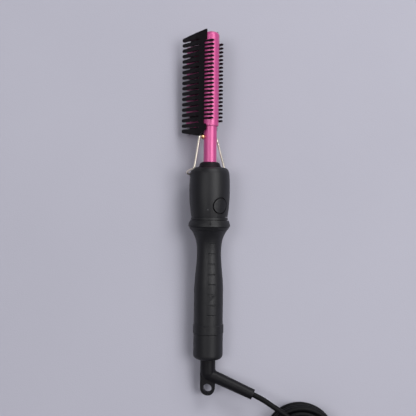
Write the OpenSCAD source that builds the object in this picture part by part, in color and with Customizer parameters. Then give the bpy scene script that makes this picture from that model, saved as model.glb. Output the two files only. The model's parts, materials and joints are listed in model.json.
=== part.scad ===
// Electric hot comb: a heated comb between two plastic guards, on a handle with a heat dial,
// a power button, a folding wire stand and a swivelling cord.
//
// Each module draws its piece with the tool lying along Y: the comb's tip points to +Y, the long
// teeth point to -Z, the fine teeth to +Z, and stations are counted from the end cap's rear face.
// lying() then rolls and tilts the tool the way it rests on a table at Z = 0.

/* [End cap and grip] */
// Length of the end cap
cap_len = 20.8; // [17:0.1:24]
// Diameter of the end cap
cap_d = 24.2; // [23:0.1:24.6]
// Radius of the end cap's rear edge
cap_edge_r = 3.6; // [1:0.1:4]
// Thickness of the end cap's rear floor
cap_floor = 2.6; // [2:0.1:3]
// Length of the locking ring in front of the end cap
ring_len = 7.6; // [5:0.1:10]
// Diameter of the locking ring
ring_d = 25.1; // [24.8:0.1:26.5]
// Length of the grip
grip_len = 77; // [76:0.1:100]
// Diameter of the grip at the locking ring
grip_d = 23.8; // [22.5:0.1:24.4]
// Diameter of the grip's waist
waist_d = 19.9; // [18.6:0.1:21]
// Distance from the heat dial down to the waist
waist_at = 19; // [14:0.1:22]
// Length over which the grip swells again below its waist
swell_len = 30; // [20:1:44]
// Diameter of the grip's flare under the heat dial
flare_d = 29.4; // [28.5:0.1:31]
// Wall thickness of the grip
grip_wall = 2; // [1.8:0.1:2.2]
// Number of finger grooves on the grip
groove_count = 8; // [4:1:8]
// Distance between finger grooves
groove_pitch = 8.25; // [7:0.05:8.6]
// Distance from the heat dial down to the first finger groove
groove_start = 10.8; // [9:0.1:14]
// Angle that a finger groove spans around the grip
groove_span = 32; // [20:1:80]
// Depth of a finger groove
groove_depth = 0.4; // [0.3:0.1:0.8]
// Where the finger grooves lie, in degrees from the fine teeth's direction
groove_turn = 38; // [10:1:60]

/* [Heat dial] */
// Length of the heat dial
dial_len = 10.6; // [10:0.1:13]
// Largest diameter of the heat dial
dial_d = 34.2; // [32.5:0.1:36]
// Diameter of the heat dial at its two edges
dial_edge_d = 29.6; // [29:0.1:31]
// Diameter of the journal that the heat dial turns on
journal_d = 26; // [25.4:0.1:26]
// Wall thickness of the journal
journal_wall = 2; // [1.6:0.1:2]
// Angle that the heat dial turns through
dial_range = 270; // [180:10:280]
// Where the dial's index groove lies, in degrees from the fine teeth's direction
dial_mark_turn = 48; // [20:1:70]

/* [Casing] */
// Length of the casing
casing_len = 40.5; // [40:0.1:50]
// Largest diameter of the casing
casing_d = 33.3; // [33:0.1:36]
// Diameter of the casing at the heat dial
casing_end_d = 29.7; // [29.6:0.1:31]
// Distance from the heat dial to the casing's widest place
casing_belly = 23; // [20:0.5:26]
// Length of the casing's rounded shoulder
shoulder_len = 6.7; // [5:0.1:8]
// How far the shoulder draws the casing in
shoulder_drop = 3.8; // [3:0.1:4.4]
// Wall thickness of the casing
casing_wall = 1.75; // [1.5:0.05:1.75]
// Distance from the collar back to the casing screws
screw_back = 12; // [11:0.1:12]
// Distance of each casing screw from the tool's axis
screw_off = 10; // [9.5:0.1:10.2]
// Length of the nose collar in front of the casing
collar_len = 4.6; // [3:0.1:8]
// Diameter of the nose collar at the casing
collar_d = 19; // [18:0.1:20]
// Diameter of the nose collar at the neck
collar_top_d = 12.4; // [12:0.1:14]

/* [Button and lamp] */
// Diameter of the power button
button_d = 11.8; // [11:0.1:12.8]
// Gap around the power button
button_gap = 0.8; // [0.3:0.05:0.9]
// Distance from the heat dial to the middle of the button
button_at = 9.4; // [8.6:0.1:9.8]
// Where the button lies, in degrees from the fine teeth's direction
button_turn = 16; // [0:1:20]
// Travel of the power button
button_travel = 0.8; // [0.4:0.1:0.8]
// Diameter of the lamp's light pipe
lens_d = 1; // [0.8:0.1:1.2]
// Angle from the button to the lamp
lens_turn = 38.6; // [38:0.1:40]
// Distance from the heat dial to the lamp
lens_at = 6.1; // [5.9:0.1:6.6]

/* [Neck and barrel] */
// Diameter of the neck tube
neck_d = 10.8; // [10.4:0.1:11.4]
// Wall thickness of the neck tube
neck_wall = 0.8; // [0.6:0.05:0.9]
// Length of the neck between the collar and the barrel
neck_len = 29.5; // [27:0.1:36]
// Diameter of the heated barrel
barrel_d = 13.4; // [13:0.1:14]
// Length of the heated barrel
barrel_len = 76.8; // [76:0.1:84]
// Radius of the barrel's rounded tip edge
barrel_edge_r = 3; // [1.5:0.1:4]
// Diameter of the heating rod
heater_d = 7.8; // [6.5:0.1:8.2]
// Thickness of the barrel's solid end beyond the heating rod
barrel_end_wall = 12; // [6:0.5:30]

/* [Metal comb] */
// Distance between the metal teeth
metal_pitch = 3.13; // [2.9:0.01:3.2]
// Width of a metal tooth at its root
metal_tooth_w = 2.1; // [1.4:0.1:2.3]
// Reach of the metal teeth below the tool's axis
metal_reach = 26.2; // [20:0.1:27]
// Thickness of the metal comb at the barrel
metal_root_t = 3; // [2.4:0.1:3.6]
// Thickness of the metal comb at the teeth's tips
metal_tip_t = 1.4; // [1:0.1:1.8]
// Depth of the solid web between the barrel and the teeth
web_depth = 3.6; // [3.2:0.1:4]

/* [Comb guards] */
// Distance between the long teeth of a guard
coarse_pitch = 4.49; // [4.2:0.01:4.6]
// Width of a long tooth
coarse_w = 3.2; // [2.4:0.1:3.5]
// Reach of the long teeth below the tool's axis
coarse_reach = 26.7; // [22:0.1:28]
// Distance between the fine teeth of a guard
fine_pitch = 3.14; // [2.8:0.01:3.2]
// Width of a fine tooth
fine_w = 1.6; // [1.1:0.1:1.7]
// Reach of the fine teeth above the tool's axis
fine_reach = 7.6; // [7.4:0.1:9.4]
// Distance from the tool's axis to a guard's inner face
guard_in = 5.1; // [4.9:0.1:5.6]
// Thickness of a guard's spine
guard_t = 2.3; // [2.1:0.1:3]
// How far the guards reach back over the neck
guard_back = 7; // [6.2:0.1:7.4]
// How far the guards reach past the barrel's tip
guard_front = 1.6; // [0.6:0.1:3]
// Height of the spine's top edge below the tool's axis
spine_top = 1.4; // [0.4:0.1:1.6]
// Height of the spine's lower edge below the tool's axis
spine_low = 6.6; // [5.4:0.1:6.8]
// How far the front guard's fine teeth stand nearer the tip than the rear guard's
fine_stagger = 1.6; // [0:0.1:1.6]
// How far each guard leans in towards the metal comb at the long teeth's tips
guard_lean = 1.5; // [0:0.1:2]
// How much the end plate at the comb's tip leans in
plate_lean = 3.8; // [2:0.1:5]
// How much the end plate at the neck leans in
back_lean = 2.3; // [2:0.1:4]

/* [Wire stand] */
// Diameter of the stand's wire
wire_d = 1.7; // [1.4:0.1:1.8]
// Distance from the barrel back to the stand's hinge
hinge_back = 9.1; // [8.6:0.1:9.8]
// How far the stand's hinge lies below the tool's axis
hinge_low = 2.2; // [0:0.1:2.4]
// Distance from the tool's axis to each leg at the hinge
leg_out = 11; // [10:0.1:13]
// Distance from the hinge to the stand's foot
stand_len = 26.3; // [25:0.1:29]
// Width of the stand's round foot, between wire centres
stand_w = 38.8; // [38.6:0.1:42]
// Reach of the stand's foot below the tool's axis
foot_depth = 18.3; // [18:0.1:22]
// Angle that the foot slants back from the legs
foot_slant = 12; // [6:1:16]

/* [Cord boot] */
// Diameter of the boot's stem
boot_d = 12.4; // [12:0.1:13.4]
// Distance from the end cap to the boot's elbow
elbow_at = 12.3; // [11:0.1:15]
// Angle that the strain relief leans back from square
arm_lean = 22.6; // [15:0.1:35]
// Length of the strain relief
arm_len = 40.4; // [36:0.1:46]
// Diameter of the strain relief at the elbow
arm_root_d = 9.9; // [9:0.1:10.6]
// Diameter of the strain relief at the cord
arm_tip_d = 8.5; // [7.6:0.1:8.8]
// Distance from the end cap to the middle of the hanging loop
loop_at = 23.9; // [22.5:0.1:28]
// Outer diameter of the hanging loop
loop_d = 12; // [11:0.1:13]
// Diameter of the hanging loop's hole
loop_hole_d = 7; // [5:0.1:7.4]
// Thickness of the hanging loop
loop_t = 4.4; // [3:0.1:6]
// Angle that the cord lifts the strain relief
arm_lift = 8; // [0:1:12]
// Diameter of the spigot that the boot turns on
spigot_d = 9; // [8:0.1:9.6]

/* [Cord and plug] */
// Diameter of the cord
cord_d = 4.4; // [4:0.1:5]
// Width of the plug
plug_w = 26; // [24:0.5:30]
// Thickness of the plug
plug_t = 15; // [13:0.5:18]
// Length of the plug
plug_len = 26; // [22:0.5:34]
// Distance between the plug's pins
pin_spacing = 12.7; // [10:0.1:14]
// Length of the plug's pins
pin_len = 17; // [14:0.5:20]

/* [Hidden] */
$fn = 48;

// Clearances: between seated pieces, between turning pieces, and between faces that move past.
seat_gap = 0.02;
run_gap = 0.05;
face_gap = 0.3;

// Stations along the tool, from the end cap's rear face.
ring_y = cap_len;
grip_y = ring_y + ring_len;
dial_y = grip_y + grip_len;
casing_y = dial_y + dial_len;
collar_y = casing_y + casing_len;
neck_y = collar_y + collar_len;
barrel_y = neck_y + neck_len;
tip_y = barrel_y + barrel_len;
waist_y = dial_y - waist_at;
hinge_y = barrel_y - hinge_back;
comb_mid_y = (barrel_y - guard_back + tip_y + guard_front) / 2;
guard_half = (barrel_len + guard_back + guard_front) / 2;
button_y = casing_y + button_at;

// How far the neck tube reaches into the casing and into the barrel.
neck_in_casing = 15.5;
neck_in_barrel = 5.8;

// Radii that several pieces share.
journal_r = journal_d / 2;
journal_bore_r = journal_r - journal_wall;
grip_bore_r = grip_d / 2 - grip_wall;
barrel_r = barrel_d / 2;
neck_r = neck_d / 2;
wire_r = wire_d / 2;
cord_r = cord_d / 2;

// Teeth: as many of each kind as the guards' ends leave room for.
boss_len = 8.6;
plate_w = 5.5;
coarse_count = 2 * floor((guard_half - plate_w) / coarse_pitch);
fine_count = 2 * floor((guard_half - boss_len - fine_w / 2) / fine_pitch) + 1;

ring_edge = 0.6;
web_low = barrel_r + web_depth;
guard_out = guard_in + guard_t;
tip_taper = 0.4;
tooth_tip_r = 1.35;
front_plate_tip = guard_half - plate_lean;
back_plate_tip = guard_half - back_lean;
coarse_mid_y = comb_mid_y + (front_plate_tip - back_plate_tip) / 2;

// The stand's foot is an arc in a plane that slants back: foot_run is its depth in that plane.
foot_y = hinge_y - stand_len;
foot_run = foot_depth / cos(foot_slant);
foot_r = (pow(stand_w / 2, 2) + pow(foot_run, 2)) / (2 * foot_run);
foot_mid = foot_run - foot_r;

// Resting attitude: the locking ring, the stand's foot and the rear guard's first long tooth
// touch the table. The foot and the ring give the tilt, and halving finds the roll for the tooth.
ring_touch_y = ring_y + ring_edge;
tooth_touch_y = comb_mid_y - back_plate_tip + tooth_tip_r;
tip_out = guard_out
    - (tip_taper + guard_lean) * (coarse_reach - web_low) / (coarse_reach + 1 - web_low);
function foot_turn(roll) = atan(cos(foot_slant) / tan(roll));
function foot_down(roll) = foot_mid + foot_r * sin(foot_turn(roll));
function foot_drop(roll) =
    foot_r * cos(foot_turn(roll)) * sin(roll)
    + foot_down(roll) * cos(foot_slant) * cos(roll)
    + wire_r;
function tilt_for(roll) = atan(
    (foot_drop(roll) - ring_d / 2) / (foot_y - foot_down(roll) * sin(foot_slant) - ring_touch_y));
function height_for(tilt) = ring_d / 2 * cos(tilt) - ring_touch_y * sin(tilt);
function tooth_gap(roll) =
    let (tilt = tilt_for(roll))
    height_for(tilt) + tooth_touch_y * sin(tilt)
    - (coarse_reach * cos(roll) + tip_out * sin(roll)) * cos(tilt);
function roll_between(low, high, steps) =
    let (mid = (low + high) / 2)
    steps == 0 ? mid
    : tooth_gap(mid) > 0 ? roll_between(low, mid, steps - 1) : roll_between(mid, high, steps - 1);

lie_roll = roll_between(30, 75, 24);
lie_tilt = tilt_for(lie_roll);
rest_height = height_for(lie_tilt);
left_reach = coarse_reach * sin(lie_roll) + tip_out * cos(lie_roll);
right_reach = (arm_len * cos(arm_lean) + arm_tip_d / 2 * sin(arm_lean)) * cos(arm_lift);
front_reach = tip_y + guard_front;
rear_reach = elbow_at + arm_len * sin(arm_lean) + arm_tip_d / 2 * cos(arm_lean);
place_x = (left_reach - right_reach) / 2;
place_y = -(front_reach - rear_reach) / 2 * cos(lie_tilt);

module lying() {
    translate([place_x, place_y, rest_height])
        rotate([lie_tilt, 0, 0])
            rotate([0, lie_roll, 0])
                children();
}

// Turns a solid of revolution onto the tool's axis, from station y forward.
module along(y) {
    translate([0, y, 0]) rotate([-90, 0, 0]) children();
}

// Puts a solid with its Z outward at station y, turned from the fine teeth's direction.
module outward(y, turn, side = 0) {
    rotate([0, -turn, 0]) translate([side, y, 0]) children();
}

// Stands a flat outline in the plane of the teeth, from x outward.
module tooth_plane(x, thick) {
    translate([x, comb_mid_y, 0]) rotate([90, 0, 90]) linear_extrude(thick) children();
}

// Extrudes an X-Z outline along the comb.
module comb_prism(len) {
    translate([0, comb_mid_y + len / 2, 0]) rotate([90, 0, 0]) linear_extrude(len) children();
}

module ring_solid(outer_r, inner_r, len) {
    rotate_extrude() translate([inner_r, 0]) square([outer_r - inner_r, len]);
}

// ---- Grip and tail ----

function smooth(u) = u * u * (3 - 2 * u);

function grip_radius(y) =
    y > waist_y
    ? waist_d / 2 + (flare_d - waist_d) / 2 * pow((y - waist_y) / waist_at, 2.75)
    : waist_d / 2 + (grip_d - waist_d) / 2 * smooth(min(1, (waist_y - y) / swell_len));

swell_y = waist_y - swell_len;
grip_stations = concat(
    [grip_y],
    [for (i = [0:8]) swell_y + swell_len * i / 8],
    [for (i = [1:8]) waist_y + waist_at * i / 8]
);
// Lock groove near the journal's front end, and the rib of the casing that sits in it.
lock_at = 2.6;
lock_w = 1.2;
lock_depth = 0.95;
journal_end = casing_y + 5;
dial_slot_at = 3.9;
dial_slot_w = 2.8;
lug_half = 5;

module grip_shape() {
    outer = [for (y = grip_stations) [grip_radius(y), y]];
    inner = [for (i = [len(grip_stations) - 1:-1:0])
        [min(grip_radius(grip_stations[i]) - grip_wall, journal_bore_r), grip_stations[i]]];
    lock_y = casing_y + lock_at;
    polygon(concat(
        outer,
        [[journal_r, dial_y], [journal_r, lock_y - run_gap]],
        [[journal_r - lock_depth, lock_y - run_gap]],
        [[journal_r - lock_depth, lock_y + lock_w + run_gap]],
        [[journal_r, lock_y + lock_w + run_gap], [journal_r, journal_end]],
        [[journal_bore_r, journal_end]],
        inner
    ));
}

module finger_groove(y) {
    groove_r = 0.7;
    along(y)
        rotate([0, 0, -90 - groove_span / 2])
            rotate_extrude(angle = groove_span)
                translate([grip_radius(y) + groove_r - groove_depth, 0])
                    circle(r = groove_r);
}

module grip() {
    color("#1c1c1f")
        lying()
            difference() {
                along(0) rotate_extrude() grip_shape();
                rotate([0, -groove_turn, 0])
                    for (i = [0:groove_count - 1])
                        finger_groove(dial_y - groove_start - i * groove_pitch);
                // Notch that clears the button and keys the grip to the casing.
                outward(button_y, button_turn)
                    translate([0, 0, 6]) cylinder(r = flange_r + face_gap, h = journal_r);
                // Window that the dial's lug travels in.
                along(dial_y + dial_slot_at)
                    rotate([0, 0, -lug_half - 2])
                        rotate_extrude(angle = dial_range + 2 * lug_half + 4)
                            translate([journal_bore_r - 1, 0])
                                square([journal_wall + 2, dial_slot_w]);
            }
}

cap_neck_r = grip_bore_r - run_gap;
cap_neck_wall = 1.8;
cap_neck_end = grip_y + 6;
spigot_r = spigot_d / 2;

module tail_cap() {
    bore_r = spigot_r + run_gap;
    color("#1c1c1f")
        lying()
            along(0)
                rotate_extrude()
                    polygon(concat(
                        [[bore_r, 0]],
                        [for (a = [-90:15:0]) [
                            cap_d / 2 - cap_edge_r + cap_edge_r * cos(a),
                            cap_edge_r + cap_edge_r * sin(a)
                        ]],
                        [[cap_d / 2, cap_len], [cap_neck_r, cap_len], [cap_neck_r, cap_neck_end]],
                        [[cap_neck_r - cap_neck_wall, cap_neck_end]],
                        [[cap_neck_r - cap_neck_wall, cap_floor], [bore_r, cap_floor]]
                    ));
}

module tail_ring() {
    color("#222226")
        lying()
            along(ring_y)
                rotate_extrude()
                    polygon([
                        [cap_neck_r + seat_gap, 0],
                        [ring_d / 2 - ring_edge, 0],
                        [ring_d / 2, ring_edge],
                        [ring_d / 2, ring_len - ring_edge],
                        [ring_d / 2 - ring_edge, ring_len],
                        [cap_neck_r + seat_gap, ring_len]
                    ]);
}

// ---- Swivel contacts in the end cap ----

spigot_tip = cap_floor + 10.8;
ring_stations = [cap_floor + 4.6, cap_floor + 8];
contact_w = 1.6;
contact_r = spigot_r + 0.5;
block_y = spigot_tip + 1.8;
block_len = 4;
leaf_in = contact_r + 1;
leaf_t = 0.4;
leaf_w = 3;
leaf_end = block_y + block_len + 2;

// One leaf spring: a strip from the terminal block back over its ring, with a contact pad.
module leaf(y, grow = 0) {
    translate([leaf_in - grow, y, -leaf_w / 2 - grow])
        cube([leaf_t + 2 * grow, leaf_end - y, leaf_w + 2 * grow]);
    translate([contact_r + 0.15, y, -leaf_w / 2])
        cube([leaf_in - contact_r - 0.15, contact_w * 0.75, leaf_w]);
}

module both_leaves(grow = 0) {
    rotate([0, -button_turn, 0]) {
        leaf(ring_stations[0], grow);
        rotate([0, 180, 0]) leaf(ring_stations[1], grow);
    }
}

module terminal_block() {
    color("#d8d2c0")
        lying()
            difference() {
                along(block_y) cylinder(r = cap_neck_r - cap_neck_wall - run_gap, h = block_len);
                both_leaves(seat_gap);
            }
}

module swivel_contacts() {
    color("#c9a24a") lying() both_leaves();
}

lead_r = 0.55;

module supply_leads() {
    lead_x = leaf_in + leaf_t / 2;
    color("#8a2d22")
        lying()
            for (side = [-1, 1])
                outward(leaf_end, button_turn, side * lead_x)
                    rotate([-90, 0, 0]) cylinder(r = lead_r, h = board_y + 5 - leaf_end, $fn = 24);
}

// ---- Electronics ----

board_y = casing_y + 3;
board_len = collar_y - neck_in_casing - 1 - board_y;
board_w = 19;
board_t = 1.6;
board_low = lead_r + run_gap;
board_top = board_low + board_t;
switch_w = 6;

module control_board() {
    color("#2f6b3a")
        lying()
            outward(board_y, button_turn)
                translate([-board_w / 2, 0, board_low]) cube([board_w, board_len, board_t]);
}

// The parts fill the board's length in front of the switch, between two clearances.
module board_components() {
    switch_room = 2.8;
    end_room = 0.4;
    parts_y = button_y - board_y + switch_w / 2 + switch_room;
    parts_len = board_len - end_room - parts_y;
    choke_r = parts_len / 4;
    color("#3a3f8a")
        lying()
            outward(board_y, button_turn) {
                // Film capacitor, triac and choke.
                translate([-9.2, parts_y, board_top]) cube([5.8, parts_len, 5.6]);
                translate([1.4, parts_y, board_top]) cube([7, parts_len - 2 * choke_r - 0.2, 6.2]);
                translate([5, board_len - end_room - choke_r, board_top]) cylinder(r = choke_r, h = 4.6);
            }
}

switch_h = 3.6;
switch_top = board_top + switch_h;
plunger_r = 1.55;
plunger_top = switch_top + button_travel + 0.1;
plunger_low = switch_top - 1.7;

module tact_switch() {
    color("#202124")
        lying()
            outward(button_y, button_turn)
                difference() {
                    translate([-switch_w / 2, -switch_w / 2, board_top])
                        cube([switch_w, switch_w, switch_h]);
                    translate([0, 0, plunger_low - button_travel - 0.2])
                        cylinder(r = plunger_r + run_gap, h = switch_h);
                }
}

module switch_plunger() {
    color("#b9bcc2")
        lying()
            outward(button_y, button_turn)
                translate([0, 0, plunger_low])
                    cylinder(r = plunger_r, h = plunger_top - plunger_low);
}

lens_r = lens_d / 2;
lens_in = 9.8;

module indicator_led() {
    led_r = 1.5;
    led_x = -(lens_in - 0.8) * sin(lens_turn);
    led_top = (lens_in - 0.8) * cos(lens_turn) - led_r;
    color("#d9d9d2")
        lying()
            outward(casing_y + lens_at, button_turn, led_x) {
                translate([0, 0, board_top]) cylinder(r = led_r, h = led_top - board_top);
                translate([0, 0, led_top]) sphere(r = led_r);
            }
}

module indicator_lens() {
    color("#f4f4ee")
        lying()
            intersection() {
                outward(casing_y + lens_at, button_turn + lens_turn)
                    translate([0, 0, lens_in]) cylinder(r = lens_r, h = casing_d / 2, $fn = 24);
                along(casing_y) rotate_extrude() casing_outline(0);
            }
}

// ---- Casing ----

function casing_barrel(y) =
    casing_d / 2 - (casing_d - casing_end_d) / 2 * pow((y - casing_belly) / casing_belly, 2);

shoulder_y = casing_len - shoulder_len;
shoulder_r = casing_barrel(shoulder_y);
casing_steps = 9;

// Outer outline of the casing, filled to the axis and shrunk by "less".
module casing_outline(less) {
    polygon(concat(
        [[0, 0]],
        [for (i = [0:casing_steps - 1])
            let (y = shoulder_y * i / casing_steps) [casing_barrel(y) - less, y]],
        [for (a = [0:15:90]) [
            shoulder_r - less - shoulder_drop * (1 - cos(a)),
            shoulder_y + (shoulder_len - less) * sin(a)
        ]],
        [[0, casing_len - less]]
    ));
}

nose_bore_r = neck_r + 2.2;
collar_spigot_len = 5;

module casing_wall_shape() {
    front_ring_r = (collar_d / 2 + shoulder_r - shoulder_drop) / 2;
    front_ring_w = 0.8;
    difference() {
        casing_outline(0);
        casing_outline(casing_wall);
        square([nose_bore_r, casing_len + 1]);
        // Fine ring groove on the front face, between the collar and the shoulder.
        translate([front_ring_r - front_ring_w / 2, casing_len - 0.5]) square([front_ring_w, 1]);
    }
}

// Rib that locks into the journal's groove.
module lock_rib_shape() {
    rib_r = journal_r - lock_depth + run_gap;
    translate([rib_r, lock_at])
        square([casing_barrel(lock_at) - casing_wall / 2 - rib_r, lock_w]);
}

boss_r = 2.3;
well_r = 3.4;
thread_r = 1.1;
screw_head_r = 2;
screw_head_h = 1.5;
screw_head_low = -8.4;
screw_tip = 6;

// A half shell with its two screw bosses, on the side that z is positive on.
module casing_half(post_r) {
    along(casing_y) rotate([0, 0, 180]) rotate_extrude(angle = 180) casing_wall_shape();
    intersection() {
        for (side = [-1, 1])
            translate([side * screw_off, collar_y - screw_back, 0]) cylinder(r = post_r, h = casing_d);
        along(casing_y) rotate_extrude() casing_outline(casing_wall / 2);
    }
    difference() {
        along(casing_y) rotate([0, 0, 180]) rotate_extrude(angle = 180) lock_rib_shape();
        translate([0, button_y, 0]) cylinder(r = flange_r + face_gap, h = casing_d);
    }
}

flange_r = button_d / 2 + button_gap + 0.45;
casing_bore_r = casing_barrel(button_at) - casing_wall;
flange_top = sqrt(casing_bore_r * casing_bore_r - flange_r * flange_r) - face_gap;
flange_t = 1;

module front_casing() {
    color("#1c1c1f")
        lying()
            difference() {
                rotate([0, -button_turn, 0]) casing_half(boss_r);
                outward(button_y, button_turn)
                    cylinder(r = button_d / 2 + button_gap, h = casing_d);
                outward(casing_y + lens_at, button_turn + lens_turn)
                    cylinder(r = lens_r + seat_gap, h = casing_d, $fn = 24);
                for (side = [-1, 1])
                    outward(collar_y - screw_back, button_turn, side * screw_off)
                        translate([0, 0, -1]) cylinder(r = thread_r, h = screw_tip + 1.5);
            }
}

module rear_casing() {
    post_r = 1.2;
    color("#1c1c1f")
        lying()
            difference() {
                rotate([0, -button_turn, 0]) {
                    rotate([0, 180, 0]) casing_half(well_r);
                    // Posts that the board rests on.
                    intersection() {
                        for (side = [-1, 1], y = [board_len / 2, board_len - 2.5])
                            translate([side * 7.8, board_y + y, board_low])
                                mirror([0, 0, 1]) cylinder(r = post_r, h = casing_d);
                        along(casing_y) rotate_extrude() casing_outline(casing_wall / 2);
                    }
                }
                for (side = [-1, 1])
                    outward(collar_y - screw_back, button_turn, side * screw_off) {
                        translate([0, 0, screw_head_low - 1]) cylinder(r = thread_r + 0.2, h = 12);
                        translate([0, 0, -casing_d])
                            cylinder(r = screw_head_r + 0.3, h = casing_d + screw_head_low + screw_head_h);
                    }
            }
}

module casing_screws() {
    color("#8d9196")
        lying()
            for (side = [-1, 1])
                outward(collar_y - screw_back, button_turn, side * screw_off)
                    difference() {
                        union() {
                            translate([0, 0, screw_head_low])
                                cylinder(r = screw_head_r, h = screw_head_h - seat_gap);
                            translate([0, 0, screw_head_low + 0.5])
                                cylinder(r = thread_r - seat_gap, h = screw_tip - screw_head_low - 0.5);
                        }
                        // Cross recess.
                        for (turn = [0, 90])
                            rotate([0, 0, turn])
                                translate([-1.2, -0.25, screw_head_low - 1]) cube([2.4, 0.5, 1.8]);
                    }
}

module nose_collar() {
    flange_y = casing_len - casing_wall - seat_gap;
    color("#18181a")
        lying()
            along(casing_y)
                rotate_extrude()
                    polygon([
                        [neck_r + seat_gap, flange_y - collar_spigot_len],
                        [nose_bore_r + 1.6, flange_y - collar_spigot_len],
                        [nose_bore_r + 1.6, flange_y],
                        [nose_bore_r - seat_gap, flange_y],
                        [nose_bore_r - seat_gap, casing_len],
                        [collar_d / 2, casing_len],
                        [collar_d / 2, casing_len + collar_len * 0.2],
                        [collar_d / 2 - 0.7, casing_len + collar_len * 0.25],
                        [collar_d / 2 - 1, casing_len + collar_len * 0.55],
                        [collar_d / 2 - 1.8, casing_len + collar_len * 0.85],
                        [collar_top_d / 2, casing_len + collar_len],
                        [neck_r + seat_gap, casing_len + collar_len]
                    ]);
}

// ---- Power button ----

module power_button() {
    color("#26262a")
        lying() {
            intersection() {
                outward(button_y, button_turn)
                    translate([0, 0, flange_top - flange_t]) cylinder(r = button_d / 2, h = casing_d);
                along(casing_y) rotate_extrude() casing_outline(-0.2);
            }
            outward(button_y, button_turn) {
                translate([0, 0, flange_top - flange_t]) cylinder(r = flange_r, h = flange_t);
                translate([0, 0, plunger_top])
                    cylinder(r = 2.4, h = flange_top - plunger_top);
            }
        }
}

// ---- Heat dial ----

dial_bore_r = journal_r + run_gap;
track_at = 7.4;
track_t = 1.2;
lug_h = dial_slot_w - 0.6;
lug_at = dial_slot_at + 0.3;
wiper_in = 7.9;

// A taper towards the grip, a crown between two fine steps, and a thin rim under the casing.
crown_low = 2.6;
rim_w = 2.4;
dial_step = 0.5;

module dial_outline() {
    edge_r = dial_edge_d / 2;
    crown_top = dial_len - face_gap - rim_w;
    crown_h = dial_d / 2 - edge_r - dial_step;
    polygon(concat(
        [[dial_bore_r, face_gap], [edge_r + 0.6, face_gap]],
        [[dial_d / 2 - 0.5, crown_low - 0.1], [dial_d / 2 - 0.9, crown_low + 0.1]],
        [for (i = [0:8])
            let (u = i / 8)
            [edge_r + dial_step + crown_h * cos(70 * u), crown_low + 0.4 + (crown_top - crown_low - 0.4) * u]],
        [[edge_r - 0.2, crown_top + 0.1], [edge_r - 0.2, crown_top + 0.5]],
        [[edge_r + 0.5, crown_top + 0.8], [edge_r + 0.2, dial_len - face_gap]],
        [[dial_bore_r, dial_len - face_gap]]
    ));
}

module heat_dial() {
    mark_w = 1.3;
    mark_depth = 1.3;
    color("#1c1c1f")
        lying()
            difference() {
                union() {
                    along(dial_y) rotate_extrude() dial_outline();
                    along(dial_y + lug_at)
                        rotate([0, 0, -lug_half])
                            rotate_extrude(angle = 2 * lug_half)
                                translate([wiper_in + 1.2, 0])
                                    square([dial_bore_r + 0.5 - wiper_in - 1.2, lug_h]);
                }
                // Index groove.
                outward(dial_y + dial_len / 2 - 1, dial_mark_turn)
                    translate([-mark_w / 2, 0, dial_d / 2 - mark_depth])
                        cube([mark_w, dial_len / 2 - rim_w + 1, 2 * mark_depth]);
            }
}

module dial_wiper() {
    color("#c9a24a")
        lying()
            along(dial_y + lug_at + lug_h)
                rotate([0, 0, -lug_half + 1])
                    rotate_extrude(angle = 2 * lug_half - 2)
                        translate([wiper_in, 0])
                            square([2.6, track_at - lug_at - lug_h - 0.15]);
}

module dial_track() {
    color("#5c4a33")
        lying()
            along(dial_y + track_at)
                ring_solid(journal_bore_r - run_gap, leaf_in + leaf_t + 0.7, track_t);
}

// ---- Neck, barrel and heater ----

neck_bore_r = neck_r - neck_wall;
bush_r = wire_r + 0.55;
bush_ball_r = 1.75;
screw_y = hinge_y + 4.5;
screw_turn = 180;
pin_in = sqrt(neck_bore_r * neck_bore_r - hinge_low * hinge_low) - 0.3;

module neck_tube() {
    color("#f0689f")
        lying()
            difference() {
                along(collar_y - neck_in_casing)
                    ring_solid(neck_r, neck_bore_r, neck_in_casing + collar_len + neck_len + neck_in_barrel);
                translate([0, hinge_y, -hinge_low])
                    rotate([0, 90, 0])
                        cylinder(r = bush_r + seat_gap, h = 3 * neck_r, center = true);
                outward(screw_y, screw_turn) cylinder(r = 0.8, h = 2 * neck_r);
            }
}

module insulating_sleeve() {
    sleeve_y = collar_y - neck_in_casing + 4;
    color("#e8e2d2")
        lying()
            difference() {
                along(sleeve_y)
                    ring_solid(neck_bore_r - run_gap, neck_bore_r - 1.6, screw_y + 2.5 - sleeve_y);
                outward(screw_y, screw_turn) cylinder(r = 0.8, h = 2 * neck_r);
                // Room for the inner ends of the stand's bushes.
                translate([0, hinge_y, -hinge_low])
                    rotate([0, 90, 0])
                        cylinder(r = bush_r + 0.4, h = 3 * neck_r, center = true);
            }
}

module neck_screw() {
    color("#d2a54c")
        lying()
            outward(screw_y, screw_turn) {
                translate([0, 0, neck_bore_r - 1.3]) cylinder(r = 0.78, h = neck_wall + 1.8);
                intersection() {
                    translate([0, 0, neck_r + 0.02]) cylinder(r = 1.4, h = 2);
                    translate([0, 0, neck_r - 0.9]) sphere(r = 2);
                }
            }
}

module stand_bushes() {
    hole_r = wire_r + run_gap;
    tail_r = bush_r - 0.15;
    tail_len = leg_out - neck_r - 2;
    // The bead's middle, and how far its flat inner face is from that middle.
    bead_mid = neck_r + bush_ball_r - 0.4;
    bead_back = bead_mid - neck_r - seat_gap;
    color("#d2a54c")
        lying()
            for (side = [0, 1])
                mirror([side, 0, 0])
                    translate([0, hinge_y, -hinge_low])
                        rotate([0, 90, 0])
                            rotate_extrude() {
                                translate([hole_r, pin_in])
                                    square([bush_r - hole_r, neck_r + bush_ball_r - pin_in]);
                                // Round bead outside the neck, and a thin tail that carries the wire.
                                translate([0, bead_mid])
                                    intersection() {
                                        circle(r = bush_ball_r);
                                        translate([hole_r, -bead_back]) square(2 * bush_ball_r);
                                    }
                                translate([hole_r, neck_r]) square([tail_r - hole_r, tail_len]);
                            }
}

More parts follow.
